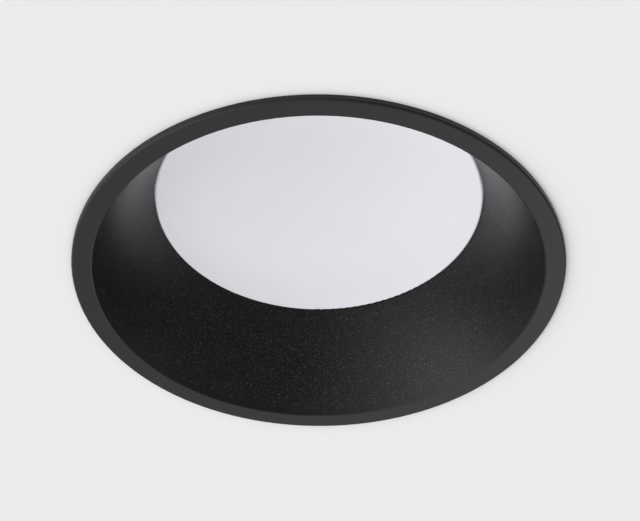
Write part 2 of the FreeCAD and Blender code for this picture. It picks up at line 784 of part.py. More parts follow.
def make_gland():
    claw_top = gland_hex_top + s.gland_claw_height
    seal_outer_radius = s.gland_cable_radius + s.gland_seal_wall
    seal_low = gland_hex_top + s.gland_nut_gap
    seal_top = seal_low + s.gland_seal_length
    body = new_body("gland_body")
    plate(body, "hexagon", gland_seat, [hexagon(s.gland_flats)], [], s.gland_hexagon_height)
    bevel_hexagon(body, gland_hex_top, s.bottom_gap)
    plate(body, "thread", gland_seat, [], [(0, 0, s.gland_thread_radius)],
          s.gland_thread_length + s.gland_washer_thickness, reverse=True)
    plate(body, "claw", gland_hex_top, [], [(0, 0, s.gland_thread_radius)], s.gland_claw_height)
    plate(body, "cable_way", claw_top, [], [(0, 0, s.gland_mouth_radius)],
          claw_top - gland_seat + s.gland_thread_length + s.gland_washer_thickness, kind="Pocket")
    plate(body, "seal_seat", claw_top, [], [(0, 0, seal_outer_radius + s.pass_gap)],
          claw_top - seal_low, kind="Pocket")

    taper = s.gland_seal_wall / 3
    turned("gland_seal", [
        (s.gland_cable_radius, seal_low), (seal_outer_radius, seal_low),
        (seal_outer_radius, seal_top - taper * 2), (seal_outer_radius - taper, seal_top),
        (s.gland_cable_radius, seal_top)])

    nut_low = gland_hex_top + s.gland_nut_gap
    nut_top = nut_low + s.gland_nut_height
    crown = s.gland_nut_height / 3
    body = new_body("gland_nut")
    plate(body, "hexagon", nut_low, [hexagon(s.gland_flats)], [], s.gland_nut_height - crown)
    bevel_hexagon(body, nut_top - crown, s.bottom_gap)
    dome_radius = s.gland_flats / 2 - s.gland_dome_inset
    dome_low = nut_top - crown - s.gland_dome_sink
    dome = outline(sketch(body, "dome_profile", "XZ_Plane"), [
        (0, dome_low), (dome_radius, dome_low), (dome_radius, nut_top - crown, crown),
        (dome_radius - crown, nut_top), (0, nut_top)])
    add(body, "Revolution", "dome", dome)
    inside = outline(sketch(body, "inside_profile", "XZ_Plane"), [
        (0, nut_low), (s.gland_thread_radius + s.thread_gap, nut_low),
        (s.gland_thread_radius + s.thread_gap, claw_top + s.pass_gap),
        (seal_outer_radius + s.pass_gap, claw_top + s.pass_gap),
        (seal_outer_radius + s.pass_gap, seal_top + s.pass_gap),
        (s.gland_mouth_radius, seal_top + s.pass_gap), (s.gland_mouth_radius, nut_top), (0, nut_top)])
    add(body, "Groove", "inside", inside)


# ---------------------------------------------------------------------------
# Spring clips
# ---------------------------------------------------------------------------
def channel_section(inner_x, depth, half_width, wall, bend):
    """Corners of a bent channel: its web lies at inner_x, its two flanges run towards +x."""
    inside = bend - wall
    far = inner_x + depth
    return [
        (inner_x + bend, -half_width), (far, -half_width), (far, -half_width + wall),
        (inner_x + bend, -half_width + wall, -inside), (inner_x + wall, -half_width + bend),
        (inner_x + wall, half_width - bend, -inside), (inner_x + bend, half_width - wall),
        (far, half_width - wall), (far, half_width), (inner_x + bend, half_width, bend),
        (inner_x, half_width - bend), (inner_x, -half_width + bend, bend)]


def swapped(corners):
    """The same outline with x and y exchanged, which turns every arc the other way."""
    return [(corner[1], corner[0], *(-as_size(bend) for bend in corner[2:])) for corner in corners]


def make_bracket(label):
    """Bent sheet: a back plate on the casting's flat and two ears that carry the pin."""
    body = new_body(label)
    reach = pivot_distance + s.bracket_ear_radius
    plate(body, "channel", bracket_low,
          [channel_section(flat_distance, reach - flat_distance, s.bracket_half_width,
                           s.sheet_thickness, s.bracket_bend)],
          [], bracket_top - bracket_low)
    beyond = reach + s.overrun
    below = bracket_low - s.overrun
    above = bracket_top + s.overrun
    width = s.bracket_half_width * 2 + s.overrun
    ear_low = s.pivot_height - s.bracket_ear_radius
    ear_high = s.pivot_height + s.bracket_ear_radius
    around_ears = outline(sketch(body, "ear_outline", "XZ_Plane"), [
        (beyond, below), (beyond, above), (plate_face, above),
        (plate_face, ear_high + s.bracket_ear_rise), (pivot_distance, ear_high, -s.bracket_ear_radius),
        (reach, s.pivot_height, -s.bracket_ear_radius), (pivot_distance, ear_low),
        (plate_face, bracket_low), (plate_face, below)])
    add(body, "Pocket", "ears", around_ears, width, both=True)
    pivot = circle(sketch(body, "pivot_outline", "XZ_Plane"), pivot_distance, s.pivot_height,
                   s.pin_radius + s.pin_press_gap)
    add(body, "Pocket", "pivot_holes", pivot, width, both=True)
    for side in (-1, 1):
        hole = circle(sketch(body, "screw_hole_outline", "YZ_Plane", plate_face),
                      s.bracket_screw_half_pitch * side, bracket_screw_level,
                      s.small_screw_radius + s.pass_gap)
        add(body, "Pocket", "screw_hole", hole, s.sheet_thickness)
        corner = s.bracket_half_width * side
        inner = corner - s.bracket_top_round * side
        outer = corner + s.overrun * side
        top = outline(sketch(body, "top_corner_outline", "YZ_Plane", plate_face + s.overrun), [
            (inner, above), (inner, bracket_top, s.bracket_top_round * -side),
            (corner, bracket_top - s.bracket_top_round), (outer, bracket_top - s.bracket_top_round),
            (outer, above)])
        add(body, "Pocket", "top_corner", top, s.sheet_thickness + s.overrun * 2)
    return body


def make_arm(label):
    """Spring-steel arm, drawn along +X from its pivot: floor, two ears, tapered blade and heel."""
    body = new_body(label)
    heel_room = pivot_distance - plate_face - s.heel_gap
    heel = (heel_room + arm_floor_low * sine(s.arm_droop)) / cosine(s.arm_droop)
    profile = sketch(body, "channel_outline", "YZ_Plane", -s.arm_ear_radius)
    outline(profile, swapped(channel_section(arm_floor_low, s.arm_ear_radius - arm_floor_low,
                                             arm_half_width, s.arm_thickness, s.arm_bend)))
    add(body, "Pad", "channel", profile, s.arm_length + s.arm_ear_radius)
    back = -s.arm_ear_radius - s.overrun
    above = s.arm_ear_radius + s.overrun
    beyond = s.arm_length + s.overrun
    below = arm_floor_low - s.overrun
    width = arm_half_width * 2 + s.overrun
    ears = outline(sketch(body, "ear_outline", "XZ_Plane"), [
        (back, below), (-heel, below), (-heel, arm_floor_low),
        (-s.arm_ear_radius, 0, -s.arm_ear_radius), (0, s.arm_ear_radius),
        (s.arm_ear_length, arm_floor_top + s.arm_bend), (s.arm_neck, arm_floor_top),
        (beyond, arm_floor_top), (beyond, above), (back, above)])
    add(body, "Pocket", "ears", ears, width, both=True)
    narrowing = arm_half_width - s.arm_tip_half_width
    blade = sketch(body, "blade_outline", "XY_Plane")
    for side in (-1, 1):
        tip = s.arm_tip_half_width * side
        outer = (arm_half_width + s.overrun) * side
        outline(blade, [
            (s.arm_neck, outer), (s.arm_neck, arm_half_width * side),
            (s.arm_neck + narrowing * 2, tip), (s.arm_length - s.arm_tip_round, tip, s.arm_tip_round * -side),
            (s.arm_length, tip - s.arm_tip_round * side), (beyond, tip - s.arm_tip_round * side),
            (beyond, outer)])
    add(body, "Pocket", "blade", blade, above * 2 + s.arm_length, both=True)
    pivot = circle(sketch(body, "pivot_outline", "XZ_Plane"), 0, 0, s.pin_radius + s.pin_running_gap)
    add(body, "Pocket", "pivot_holes", pivot, width, both=True)
    on_arm(body)
    return body


def make_clip_pad(label):
    """Plastic sleeve pushed over the blade's tip, with ribs on the side that meets the soffit."""
    body = new_body(label)
    end = s.arm_length + s.pad_overhang
    start = end - s.pad_length
    half_width = s.arm_tip_half_width + s.pad_wall
    low = arm_floor_low - s.pad_wall
    high = arm_floor_top + s.pad_wall
    plate(body, "sleeve", low, [rectangle(start, end, -half_width, half_width)], [], high - low)
    edge_feature(body, "Fillet", "rounding", s.pad_round, lambda edge: True)
    room = s.arm_tip_half_width + s.pad_slot_gap
    slot = outline(sketch(body, "slot_outline", "YZ_Plane", start),
                   rectangle(-room, room, arm_floor_low - s.pad_slot_gap, arm_floor_top + s.pad_slot_gap))
    add(body, "Pocket", "slot", slot, s.arm_length + s.pad_slot_gap - start, reverse=True)
    half_rib = s.pad_rib_width / 2
    rib_length = half_width - s.pad_round
    step = (s.pad_length - s.pad_round * 2) / PAD_RIB_COUNT
    for index in range(PAD_RIB_COUNT):
        middle = start + s.pad_round + step * (index + 0.5)
        plate(body, "rib", low, [rectangle(middle - half_rib, middle + half_rib, -rib_length, rib_length)],
              [], s.pad_rib_height, reverse=True)
    on_arm(body)
    return body


def on_pin(body):
    """Lay a piece turned about +Z on the clip's pivot, which runs along Y."""
    pivot = VECTOR(pivot_distance.value, 0, s.pivot_height.value)
    body.Placement = FreeCAD.Placement(pivot, FreeCAD.Rotation(VECTOR(1, 0, 0), -90))


def make_pivot_pin(label):
    head = s.bracket_half_width
    tail = -(s.bracket_half_width + s.pin_end)
    round_over = s.pin_head_height / 2
    body = turned(label, [
        (0, tail), (s.pin_radius, tail), (s.pin_radius, head), (s.pin_head_radius, head),
        (s.pin_head_radius, head + round_over, round_over),
        (s.pin_head_radius - round_over, head + s.pin_head_height), (0, head + s.pin_head_height)])
    on_pin(body)
    return body


def make_pin_ring(label):
    inner = s.pin_radius + s.pin_press_gap
    top = -(s.bracket_half_width + s.pin_press_gap)
    body = turned(label, rectangle(inner, s.ring_radius, top - s.ring_thickness, top))
    on_pin(body)
    return body


# ---------------------------------------------------------------------------
# Torsion spring: one unbroken wire, with a leg on the bracket's back plate and a leg on the arm
# ---------------------------------------------------------------------------
def arc_from(start, tangent, finish):
    """Circular arc that leaves start along tangent and ends at finish."""
    chord = finish - start
    along = chord * (1.0 / chord.Length)
    side = tangent - along * tangent.dot(along)
    side.normalize()
    half_angle = tangent.getAngle(chord) / 2
    middle = (start + finish) * 0.5 + side * (chord.Length / 2 * math.tan(half_angle))
    return Part.Arc(start, middle, finish).toShape()


def biarc(start, first, finish, last):
    """Two tangent arcs from start, along first, to finish, along last."""
    chord = finish - start
    both = first + last
    spread = 2 * (1 - first.dot(last))
    reach = (math.sqrt(chord.dot(both) ** 2 + spread * chord.dot(chord)) - chord.dot(both)) / spread
    joint = (start + finish + (first - last) * reach) * 0.5
    heading = (joint - start - first * reach).normalize()
    return [arc_from(start, first, joint), arc_from(joint, heading, finish)]


def spring_path():
    """Centre line about the pin, which runs along Y: leg, turns by quarters, leg."""
    radius = s.coil_radius.value
    settle = s.coil_plate_gap.value - s.heel_gap.value
    lean = math.degrees(math.asin(settle / s.bracket_leg.value))
    first = 180.0 + lean
    last = 360.0 * COIL_TURNS + first + (-s.arm_droop.value - 90.0 - first) % 360.0
    inner_width = (arm_half_width - s.arm_thickness - s.coil_side_gap).value * 2
    width = inner_width - s.wire_radius.value * 2
    climb = width / (last - first)
    steps = math.ceil((last - first) / 90.0)
    spots, headings = [], []
    for step in range(steps + 1):
        turn = (last - first) * step / steps
        angle = math.radians(first + turn)
        spots.append(VECTOR(radius * math.cos(angle), climb * turn - width / 2, radius * math.sin(angle)))
        side = 0.0 if step in (0, steps) else math.degrees(climb)
        headings.append(VECTOR(-radius * math.sin(angle), side, radius * math.cos(angle)).normalize())
    edges = [Part.LineSegment(spots[0] - headings[0] * s.bracket_leg.value, spots[0]).toShape()]
    for step in range(steps):
        edges += biarc(spots[step], headings[step], spots[step + 1], headings[step + 1])
    edges.append(Part.LineSegment(spots[-1], spots[-1] + headings[-1] * s.arm_leg.value).toShape())
    return Part.Wire(edges)


def least_self_gap(path, wire_radius):
    """Smallest free space between two stretches of the wire that are over half a turn apart."""
    step = wire_radius / 2
    spots = path.discretize(Distance=step)
    apart = math.ceil(math.pi * s.coil_radius.value / step)
    nearest = min((spots[i] - spots[j]).Length
                  for i in range(len(spots)) for j in range(i + apart, len(spots)))
    return nearest - 2 * wire_radius


def make_clip_spring(label):
    path = spring_path()
    start = path.OrderedVertexes[0].Point
    heading = path.OrderedEdges[0].tangentAt(path.OrderedEdges[0].FirstParameter)
    section = Part.Wire(Part.Circle(start, heading, s.wire_radius.value).toShape())
    spring = document.addObject("Part::Feature", label)
    spring.Label = label
    spring.Shape = path.makePipeShell([section], True, False)
    pivot = VECTOR(pivot_distance.value, 0, s.pivot_height.value)
    spring.Placement = FreeCAD.Placement(pivot, FreeCAD.Rotation())
    gap = least_self_gap(path, s.wire_radius.value)
    print(f"{label}: least gap between turns {gap:.3f} mm, wire {path.Length:.1f} mm long")
    return spring


# ---------------------------------------------------------------------------
# The whole lamp
# ---------------------------------------------------------------------------
make_trim()
make_rings()
make_diffuser()
make_mixing_chamber()
make_board()
make_led_packages()
make_driver_chips()
make_terminal_block()
make_thermal_pad()
make_board_screws()
make_heat_sink()
make_housing_screws()
make_gland()
make_bracket_screws()
for maker, name in ((make_bracket, "clip_bracket"), (make_arm, "clip_arm"), (make_clip_pad, "clip_pad"),
                    (make_clip_spring, "clip_spring"), (make_pivot_pin, "pivot_pin"),
                    (make_pin_ring, "pin_ring")):
    maker(f"{name}_right")
    round_the_back(maker(f"{name}_left"))

document.recompute()
for item in document.Objects:
    if {"Invalid", "Error"} & set(item.State):
        raise RuntimeError(f"{item.Label} is in state {item.State}")

pieces = [item for item in document.Objects
          if item.TypeId == "PartDesign::Body" or item.TypeId == "Part::Feature"]
whole = FreeCAD.BoundBox()
os.makedirs("parts", exist_ok=True)
for piece in pieces:
    if piece.Shape.isNull() or not piece.Shape.isValid():
        raise RuntimeError(f"{piece.Label} has no valid shape")
    piece.Shape.exportStep(f"parts/{piece.Label}.step")
    whole.add(piece.Shape.BoundBox)
    print(f"{piece.Label}: {len(piece.Shape.Solids)} solid(s), {piece.Shape.Volume:.1f} cubic mm")
print(f"{len(pieces)} pieces, {whole.XLength:.1f} x {whole.YLength:.1f} x {whole.ZLength:.1f} mm")
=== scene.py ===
# %% [markdown]
# # A recessed soffit downlight, dressed for its photograph
#
# The solids of this lamp come from a CAD model and are imported as they are. This notebook adds what CAD
# leaves out: the finish of every surface, the finer pieces that replace a few plain solids, the soffit round
# the lamp, the light and the camera. Lengths are in metres. The origin is the middle of the flange's back face,
# +Z points up into the soffit and the light leaves towards -Z.

# %% Load the CAD model
import math

import bpy
import numpy as np
from mathutils import Matrix, Vector


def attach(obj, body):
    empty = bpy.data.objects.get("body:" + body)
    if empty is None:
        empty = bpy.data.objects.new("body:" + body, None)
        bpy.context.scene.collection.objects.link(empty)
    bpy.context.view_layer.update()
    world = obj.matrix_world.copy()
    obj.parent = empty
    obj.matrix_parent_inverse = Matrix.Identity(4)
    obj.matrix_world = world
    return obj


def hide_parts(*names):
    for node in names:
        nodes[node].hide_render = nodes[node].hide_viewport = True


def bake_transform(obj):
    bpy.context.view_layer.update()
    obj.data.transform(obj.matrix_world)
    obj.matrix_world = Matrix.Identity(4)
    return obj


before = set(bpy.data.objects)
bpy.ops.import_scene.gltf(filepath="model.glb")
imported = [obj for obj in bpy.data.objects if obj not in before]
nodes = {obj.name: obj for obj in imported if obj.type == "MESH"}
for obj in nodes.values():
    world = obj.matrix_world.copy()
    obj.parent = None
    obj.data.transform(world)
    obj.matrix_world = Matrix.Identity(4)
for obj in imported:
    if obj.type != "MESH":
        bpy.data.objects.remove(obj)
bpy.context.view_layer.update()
MM = 0.001

# %% [markdown]
# ## The camera
#
# The photograph looks up at the soffit, so the near side of the flange is at the top of the picture. Three
# ellipses were measured in it: the flange's outline, its inner lip and the lens. Circles of known radii at known
# heights give one camera for all three: its distance, its elevation and its focal length. It doesn't look quite
# at the lamp's middle, so it has a view elevation of its own, and a little pan and roll.

# %% The camera below the soffit
FLANGE_RADIUS = 60 * MM
camera_distance = 7.041 * FLANGE_RADIUS
camera_elevation = math.radians(41.27)
view_elevation = math.radians(41.771)
pan = math.radians(-0.018)
roll = math.radians(0.177)
EYE_ASIDE = 0.4 * MM
FOCAL_PIXELS = 1731
IMAGE_WIDTH = 640
SENSOR_WIDTH = 36

eye = Vector((EYE_ASIDE, -camera_distance * math.cos(camera_elevation),
              -camera_distance * math.sin(camera_elevation)))
right = Vector((math.cos(pan), -math.sin(pan), 0))
level = Vector((math.sin(pan), math.cos(pan), 0))
forward = level * math.cos(view_elevation) + Vector((0, 0, math.sin(view_elevation)))
up = right.cross(forward)
camera_data = bpy.data.cameras.new("camera")
camera_data.sensor_width = SENSOR_WIDTH
camera_data.lens = FOCAL_PIXELS * SENSOR_WIDTH / IMAGE_WIDTH
camera = bpy.data.objects.new("camera", camera_data)
axes = Matrix((right, up, -forward)).transposed()
camera.matrix_world = Matrix.Translation(eye) @ (axes @ Matrix.Rotation(roll, 3, "Z")).to_4x4()
bpy.context.scene.collection.objects.link(camera)
bpy.context.scene.camera = camera
print(f"lens {camera_data.lens:.1f} mm, camera {camera_distance:.3f} m away")

# %% [markdown]
# ## Node graphs that read like formulas
#
# A material is a graph of nodes, and most of those nodes are arithmetic. `Wire` wraps one output socket so that
# `a * 2 + b` builds the Math nodes by itself, and `Graph.node` adds any other node.

# %% Sockets with arithmetic
class Wire:
    """One output socket. Each operator on it adds a Math node and gives that node's output."""

    def __init__(self, graph, socket):
        self.graph = graph
        self.socket = socket

    def out(self, name):
        """Another output of the same node."""
        return Wire(self.graph, self.socket.node.outputs[name])

    def math(self, operation, *others, first=None):
        operands = (self, *others) if first is None else (first, self)
        return self.graph.node("ShaderNodeMath", {"operation": operation}, *operands)

    def __add__(self, other):
        return self.math("ADD", other)

    def __sub__(self, other):
        return self.math("SUBTRACT", other)

    def __rsub__(self, other):
        return self.math("SUBTRACT", first=other)

    def __mul__(self, other):
        return self.math("MULTIPLY", other)

    def __truediv__(self, other):
        return self.math("DIVIDE", other)

    def __rtruediv__(self, other):
        return self.math("DIVIDE", first=other)

    def __pow__(self, other):
        return self.math("POWER", other)

    def __abs__(self):
        return self.math("ABSOLUTE")

    __radd__ = __add__
    __rmul__ = __mul__

    def between(self, low, high):
        """0 below low, 1 above high, and a smooth step from one to the other."""
        span = {"interpolation_type": "SMOOTHSTEP"}
        return self.graph.node("ShaderNodeMapRange", span, self, low, high, 0.0, 1.0)


class Graph:
    """A node tree that is filled by calls."""

    def __init__(self, tree):
        self.tree = tree
        tree.nodes.clear()

    def node(self, kind, settings=None, *values, output=None, **named):
        """Add a node: its settings first, then values or wires for its inputs, by order or by name."""
        made = self.tree.nodes.new(kind)
        for key, value in (settings or {}).items():
            setattr(made, key, value)
        pairs = list(zip((socket for socket in made.inputs if socket.enabled), values))
        pairs += [(made.inputs[name.replace("_", " ")], value) for name, value in named.items()]
        for socket, value in pairs:
            if isinstance(value, Wire):
                self.tree.links.new(value.socket, socket)
            else:
                socket.default_value = (*value, 1.0) if socket.type == "RGBA" else value
        outputs = {socket.name: socket for socket in made.outputs if socket.enabled}
        return Wire(self, outputs[output] if output else next(iter(outputs.values()), None))

    def place(self):
        """The point's place on the object, in metres: the vector, then its x, y and z."""
        vector = self.node("ShaderNodeTexCoord", output="Object")
        x = self.node("ShaderNodeSeparateXYZ", None, vector)
        return vector, x, x.out("Y"), x.out("Z")

    def noise(self, vector, pitch, detail=2.0, roughness=0.5):
        """Cloudy noise from 0 to 1 whose largest lumps are about one pitch across."""
        return self.node("ShaderNodeTexNoise", None, Vector=vector, Scale=1 / pitch, Detail=detail,
                         Roughness=roughness)

    def mix(self, factor, first, second):
        """A colour between two colours."""
        return self.node("ShaderNodeMix", {"data_type": "RGBA"}, factor, first, second)

    def bump(self, height, distance):
        return self.node("ShaderNodeBump", None, Height=height, Distance=distance)


# %% [markdown]
# ## A material from a graph
#
# Every finish here is one principled shader. What stays the same over the whole surface is set on the shader's
# own socket; what varies over the surface is a wire. The material replaces the CAD model's flat one in the
# object's material slots and leaves the mesh alone.

# %% Finishes and where they go
class Finish(Graph):
    """A principled material. Keyword names are the shader's sockets, with _ for a space."""

    def __init__(self, name):
        self.material = bpy.data.materials.new(name)
        self.material.use_nodes = True
        super().__init__(self.material.node_tree)

    def surface(self, **sockets):
        shader = self.node("ShaderNodeBsdfPrincipled", None, **sockets)
        self.node("ShaderNodeOutputMaterial", None, Surface=shader)
        return self.material


def dress(finish, *names):
    """Put one finish on every material slot of some CAD nodes."""
    for name in names:
        for slot in nodes[name].material_slots:
            slot.link = "OBJECT"
            slot.material = finish
    print(f"{finish.name}: {', '.join(names)}")


def grey(value):
    return (value, value, value)


# %% [markdown]
# ## Black powder coat
#
# Trim, cone and rim are one casting with one coat. On the flange the coat has flowed out to a smooth satin. Down
# in the cone the same coat carries a fine grain, so a mask by radius lets the grain in behind the lip. The grain
# tilts the surface a little, and the tops of its grains are paler, which is what makes it show in shade.

# %% The trim's coat
LIP_RADIUS = 55 * MM
LIP_FADE = 1.2 * MM
GRAIN_PITCH = 0.45 * MM
coat = Finish("grained_powder_coat")
spot, x, y, _ = coat.place()
radius = (x * x + y * y) ** 0.5
inside = 1.0 - radius.between(LIP_RADIUS - LIP_FADE, LIP_RADIUS)
grain = coat.noise(spot, GRAIN_PITCH, 1.0)
orange_peel = coat.noise(spot, 2.6 * MM, 1.0)
cloud = coat.noise(spot, 18 * MM)
specks = grain.between(0.54, 0.74) * inside
dress(coat.surface(
    Base_Color=coat.mix(cloud * 0.08 + specks * 0.9, grey(0.001), grey(0.034)),
    Roughness=0.37 + cloud * 0.06 - specks * 0.06,
    IOR=1.46,
    Normal=coat.bump(orange_peel * 0.08 + grain * inside, 0.03 * MM),
), "trim")

# %% [markdown]
# ## Opal lens
#
# The lamp is off, so the lens is a plain milky white. Light that enters it comes back from just under the face,
# which a soft white with a smooth skin over it gives. Its rim has a painted glow that grows with the radius:
# light painted on as emission, standing in for light the opal takes in from the side.

# %% The lens
LENS_RADIUS = 41.4 * MM
opal = Finish("milky_opal")
spot, x, y, _ = opal.place()
milk = opal.noise(spot, 9 * MM, 3.0)
# Painted glow: the emission grows with the square of the radius and lights the rim of a lens that doesn't shine.
painted_rim_glow = (x * x + y * y) / LENS_RADIUS ** 2
dress(opal.surface(
    Base_Color=opal.mix(milk, (0.85, 0.825, 0.88), (0.88, 0.855, 0.91)),
    Roughness=0.34 + milk * 0.08,
    IOR=1.49,
    Emission_Color=opal.mix(painted_rim_glow, grey(0.0), (0.158, 0.153, 0.163)),
    Emission_Strength=1.0,
    Normal=opal.bump(opal.noise(spot, 1.4 * MM), 0.004 * MM),
), "diffuser")

# %% [markdown]
# ## Cast aluminium
#
# The heat sink comes out of a die and is blasted, which leaves a dull, slightly pitted skin. Two places are
# machined afterwards: the hub's top, faced on a lathe, and the flats that carry the clips.

# %% The heat sink
HUB_TOP = 50 * MM
HUB_RADIUS = 11 * MM
FLAT_DISTANCE = 47 * MM
TURNING_PITCH = 0.35 * MM
casting = Finish("blasted_casting")
spot, x, y, z = casting.place()
radius = (x * x + y * y) ** 0.5
blast = casting.noise(spot, 0.5 * MM, 3.0, 0.65)
flow = casting.noise(spot, 14 * MM, 3.0)
on_hub = z.between(HUB_TOP - 0.1 * MM, HUB_TOP) * (1.0 - radius.between(HUB_RADIUS - 0.3 * MM, HUB_RADIUS))
on_flat = abs(x).between(FLAT_DISTANCE - 0.05 * MM, FLAT_DISTANCE - 0.01 * MM)
machined = (on_hub + on_flat).math("MINIMUM", 1.0)
rings = (radius * (2 * math.pi / TURNING_PITCH)).math("SINE")
dress(casting.surface(
    Base_Color=casting.mix(flow * 0.6 + blast * 0.4, grey(0.46), grey(0.60)),
    Metallic=1.0,
    Roughness=0.56 + blast * 0.12 - machined * 0.28,
    Normal=casting.bump(blast * (1.0 - machined) + rings * machined * 0.1, 0.06 * MM),
), "heat_sink")

# %% [markdown]
# ## Steel and zinc
#
# Spring steel is rolled and brushed along its length, so its noise is stretched along X. The brackets are zinc
# plated: cooler, with a faint bloom. Screws and pins are turned from bar and tumbled. A wire is drawn through a
# die, so its lines run with it: they read the wire's own UV map, which also bends with it.

# %% Sheet, arms, screws and wire
def brushed(name, stretch, low, high, rough, bump, source="Object"):
    """Metal with fine scratches: stretch holds the noise back along the axis on which its factor is small."""
    metal = Finish(name)
    spot = metal.node("ShaderNodeTexCoord", output=source)
    along = metal.node("ShaderNodeVectorMath", {"operation": "MULTIPLY"}, spot, stretch)
    scratch = metal.noise(along, 0.35 * MM, 3.0, 0.7)
    bloom = metal.noise(spot, 5 * MM)
    return metal.surface(
        Base_Color=metal.mix(bloom * 0.7 + scratch * 0.3, low, high),
        Metallic=1.0,
        Roughness=rough + scratch * 0.16,
        Normal=metal.bump(scratch, bump),
    )


dress(brushed("brushed_spring_steel", (0.06, 1.0, 0.06), grey(0.52), grey(0.62), 0.22, 0.01 * MM),
      "clip_arm_right", "clip_arm_left")
dress(brushed("bright_zinc_plate", (0.5, 0.5, 0.12), (0.55, 0.58, 0.62), (0.68, 0.69, 0.70), 0.30, 0.01 * MM),
      "clip_bracket_right", "clip_bracket_left", "pin_ring_right", "pin_ring_left")
dress(brushed("tumbled_stainless", (1.0, 1.0, 1.0), grey(0.58), grey(0.66), 0.20, 0.006 * MM),
      "board_screws", "housing_screws", "bracket_screws", "pivot_pin_right", "pivot_pin_left")
drawn_wire = brushed("drawn_spring_wire", (0.03, 2.0, 1.0), grey(0.44), grey(0.60), 0.20, 0.006 * MM,
                     source="UV")

# %% [markdown]
# ## Plastics, rubbers and foam
#
# A moulded part shows a fine spark-eroded texture, rubber is duller and a little dusty, and foam is a mass of
# cut cells.

# %% Moulded parts
def moulded(name, low, high, rough, pitch, bump):
    """Moulded plastic or rubber: two close shades, a fine texture of a given pitch, and its own gloss."""
    plastic = Finish(name)
    spot = plastic.node("ShaderNodeTexCoord", output="Object")
    texture = plastic.noise(spot, pitch, 2.0, 0.6)
    shade = plastic.noise(spot, 7 * MM)
    return plastic.surface(
        Base_Color=plastic.mix(shade, low, high),
        Roughness=rough + texture * 0.1,
        Normal=plastic.bump(texture, bump),
    )


dress(moulded("spark_eroded_nylon", grey(0.016), grey(0.024), 0.42, 0.35 * MM, 0.012 * MM),
      "gland_body", "gland_nut")
dress(moulded("dull_black_rubber", grey(0.014), grey(0.02), 0.66, 0.3 * MM, 0.015 * MM),
      "gland_seal", "gland_washer")
dress(moulded("soft_grey_silicone", (0.30, 0.31, 0.32), (0.35, 0.36, 0.37), 0.55, 0.4 * MM, 0.01 * MM),
      "diffuser_seal", "housing_seal")
dress(moulded("dark_grey_sleeve", (0.055, 0.057, 0.06), (0.075, 0.077, 0.08), 0.6, 0.3 * MM, 0.02 * MM),
      "clip_pad_right", "clip_pad_left")
dress(moulded("filled_thermal_pad", (0.22, 0.24, 0.27), (0.32, 0.34, 0.37), 0.7, 0.25 * MM, 0.01 * MM),
      "thermal_pad")
dress(moulded("gloss_white_moulding", (0.84, 0.84, 0.83), (0.88, 0.88, 0.87), 0.3, 0.5 * MM, 0.004 * MM),
      "mixing_chamber", "terminal_block")
dress(moulded("chip_resin", grey(0.02), grey(0.03), 0.5, 0.15 * MM, 0.008 * MM),
      "driver_chips")
cut_foam = moulded("cut_black_foam", grey(0.012), grey(0.03), 0.85, 0.45 * MM, 0.12 * MM)

# %% [markdown]
# ## The light engine
#
# Above the lens sits a white board. Its copper runs in rings under the solder mask, where it shows as slightly
# raised bands with darker gaps. Each LED is a white package with a round window of yellow phosphor.

# %% The board
TRACK_PITCH = 6 * MM
board = Finish("solder_mask")
spot, x, y, _ = board.place()
radius = (x * x + y * y) ** 0.5
to_gap = abs((radius / TRACK_PITCH + 0.5).math("FRACT") - 0.5)
gap = to_gap.between(0.40, 0.44)
mask = board.noise(spot, 0.6 * MM)
dress(board.surface(
    Base_Color=board.mix(gap, (0.86, 0.86, 0.84), (0.80, 0.80, 0.77)),
    Roughness=0.32 + mask * 0.08,
    Normal=board.bump(mask * 0.2 - gap, 0.03 * MM),
), "led_board")

# %% The LEDs
WINDOW_FLOOR = 37.6 * MM
phosphor = Finish("package_and_phosphor")
spot, _, _, z = phosphor.place()
in_window = 1.0 - abs(z - WINDOW_FLOOR).between(0.02 * MM, 0.05 * MM)
powder = phosphor.noise(spot, 0.12 * MM)
dress(phosphor.surface(
    Base_Color=phosphor.mix(in_window, (0.82, 0.82, 0.79), (0.85, 0.66, 0.16)),
    Roughness=0.36 + in_window * 0.2 + powder * 0.06,
    Normal=phosphor.bump(powder, 0.008 * MM),
), "led_packages")

# %% [markdown]
# ## Surfaces from two parameters
#
# The pieces that CAD leaves plain are made here as grids of points. A grid has one row for each step along a
# line or round the lamp, and one column for each step of its section. The last column is joined to the first, so
# no edge is doubled, and the rows either close too or end in a fan of triangles.

# %% A mesh from a grid of points
def grid_faces(rows, columns, rows_closed):
    """Corner numbers of a grid's quads, whose columns close on themselves, and of the fans at open ends."""
    corner = np.arange(rows * columns).reshape(rows, columns)
    if rows_closed:
        corner = np.concatenate([corner, corner[:1]])
    beside = np.roll(corner, -1, axis=1)
    quads = np.stack([corner[:-1], corner[1:], beside[1:], beside[:-1]], axis=-1).reshape(-1, 4)
    if rows_closed:
        return quads.tolist()
    hubs = rows * columns + np.arange(2)[:, None] + np.zeros(columns, dtype=int)
    first = np.stack([beside[0], hubs[0], corner[0]], axis=-1)
    last = np.stack([corner[-1], hubs[1], beside[-1]], axis=-1)
    return quads.tolist() + first.tolist() + last.tolist()


def surface(name, points, finish, rows_closed):
    """A piece from the grid points[row, column]. An open grid gets a middle point for the fan at each end."""
    flat = points.reshape(-1, 3)
    if not rows_closed:
        flat = np.concatenate([flat, points[[0, -1]].mean(axis=1)])
    mesh = bpy.data.meshes.new(name)
    mesh.from_pydata(flat, [], grid_faces(*points.shape[:2], rows_closed))
    mesh.polygons.foreach_set("use_smooth", np.ones(len(mesh.polygons), dtype=bool))
    mesh.materials.append(finish)
    piece = bpy.data.objects.new(name, mesh)
    bpy.context.scene.collection.objects.link(piece)
    print(f"{name}: {len(flat)} points, {len(mesh.polygons)} faces")
    return piece
